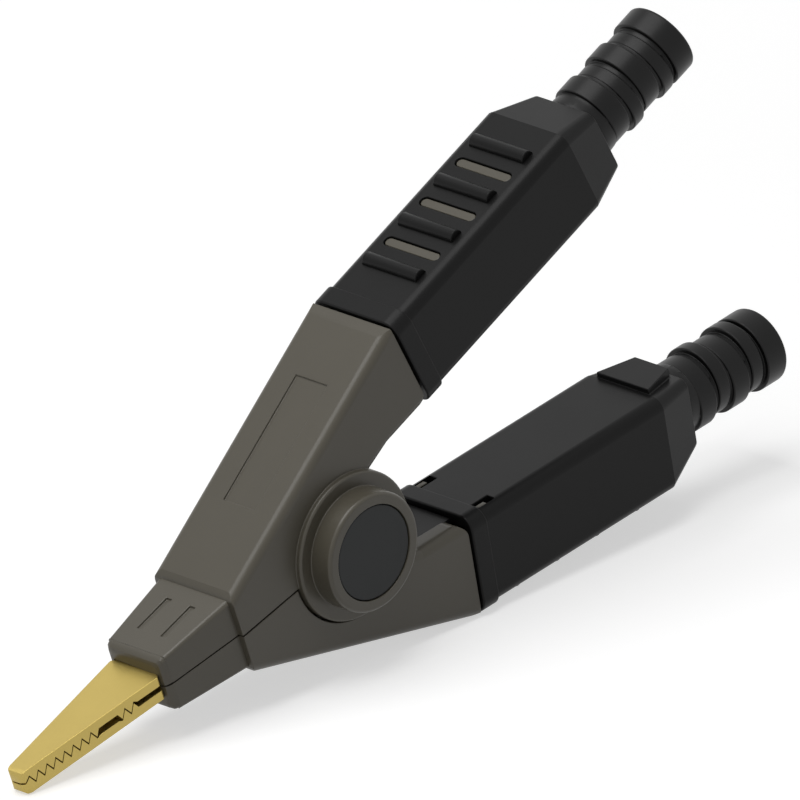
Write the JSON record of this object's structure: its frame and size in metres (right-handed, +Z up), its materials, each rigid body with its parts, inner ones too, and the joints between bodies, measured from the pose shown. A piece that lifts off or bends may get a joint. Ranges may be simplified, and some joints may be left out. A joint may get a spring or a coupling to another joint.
{
  "type": "kelvin test clip",
  "caption": "Four-wire test clip: two sprung levers on one pivot with flat toothed gold contact jaws, sleeved grips and stepped cable boots.",
  "frame": {"origin": "centre of the bounding box at the surface the closed clip lies on", "axes": "+X from the jaws to the grips, +Y along the pivot axle, +Z up"},
  "size_m": [0.126, 0.021, 0.063],
  "materials": {
    "shell": "satin moulded plastic",
    "sleeve": "satin black",
    "boot": "matte black",
    "bush": "smooth",
    "contact": "satin gold plate",
    "cap": "satin",
    "steel": "satin",
    "spring_wire": "bright drawn wire"
  },
  "bodies": {
    "lower": {"lower_lever": "shell", "lower_jaw": "contact", "lower_jaw_screw": "steel", "lower_terminal_screw": "steel", "lower_cover": "sleeve", "lower_grip": "sleeve", "lower_boot": "boot", "torsion_spring": "spring_wire"},
    "upper": {"upper_lever": "shell", "upper_jaw": "contact", "upper_jaw_screw": "steel", "upper_terminal_screw": "steel", "upper_cover": "sleeve", "upper_grip": "sleeve", "upper_boot": "boot", "pivot_axle": "steel", "axle_clip": "steel", "near_cap": "cap", "far_cap": "cap", "spring_bush": "bush"}
  },
  "joints": [
    {"name": "pivot", "type": "hinge", "parent": "lower", "child": "upper", "pos_m": [-0.0127, 0, 0.01626], "axis": [0, 1, 0], "range_deg": [0, 27.5], "stiffness_Nm_per_rad": 0.3, "springref_deg": -42.97, "deforming": ["torsion_spring"]}
  ]
}
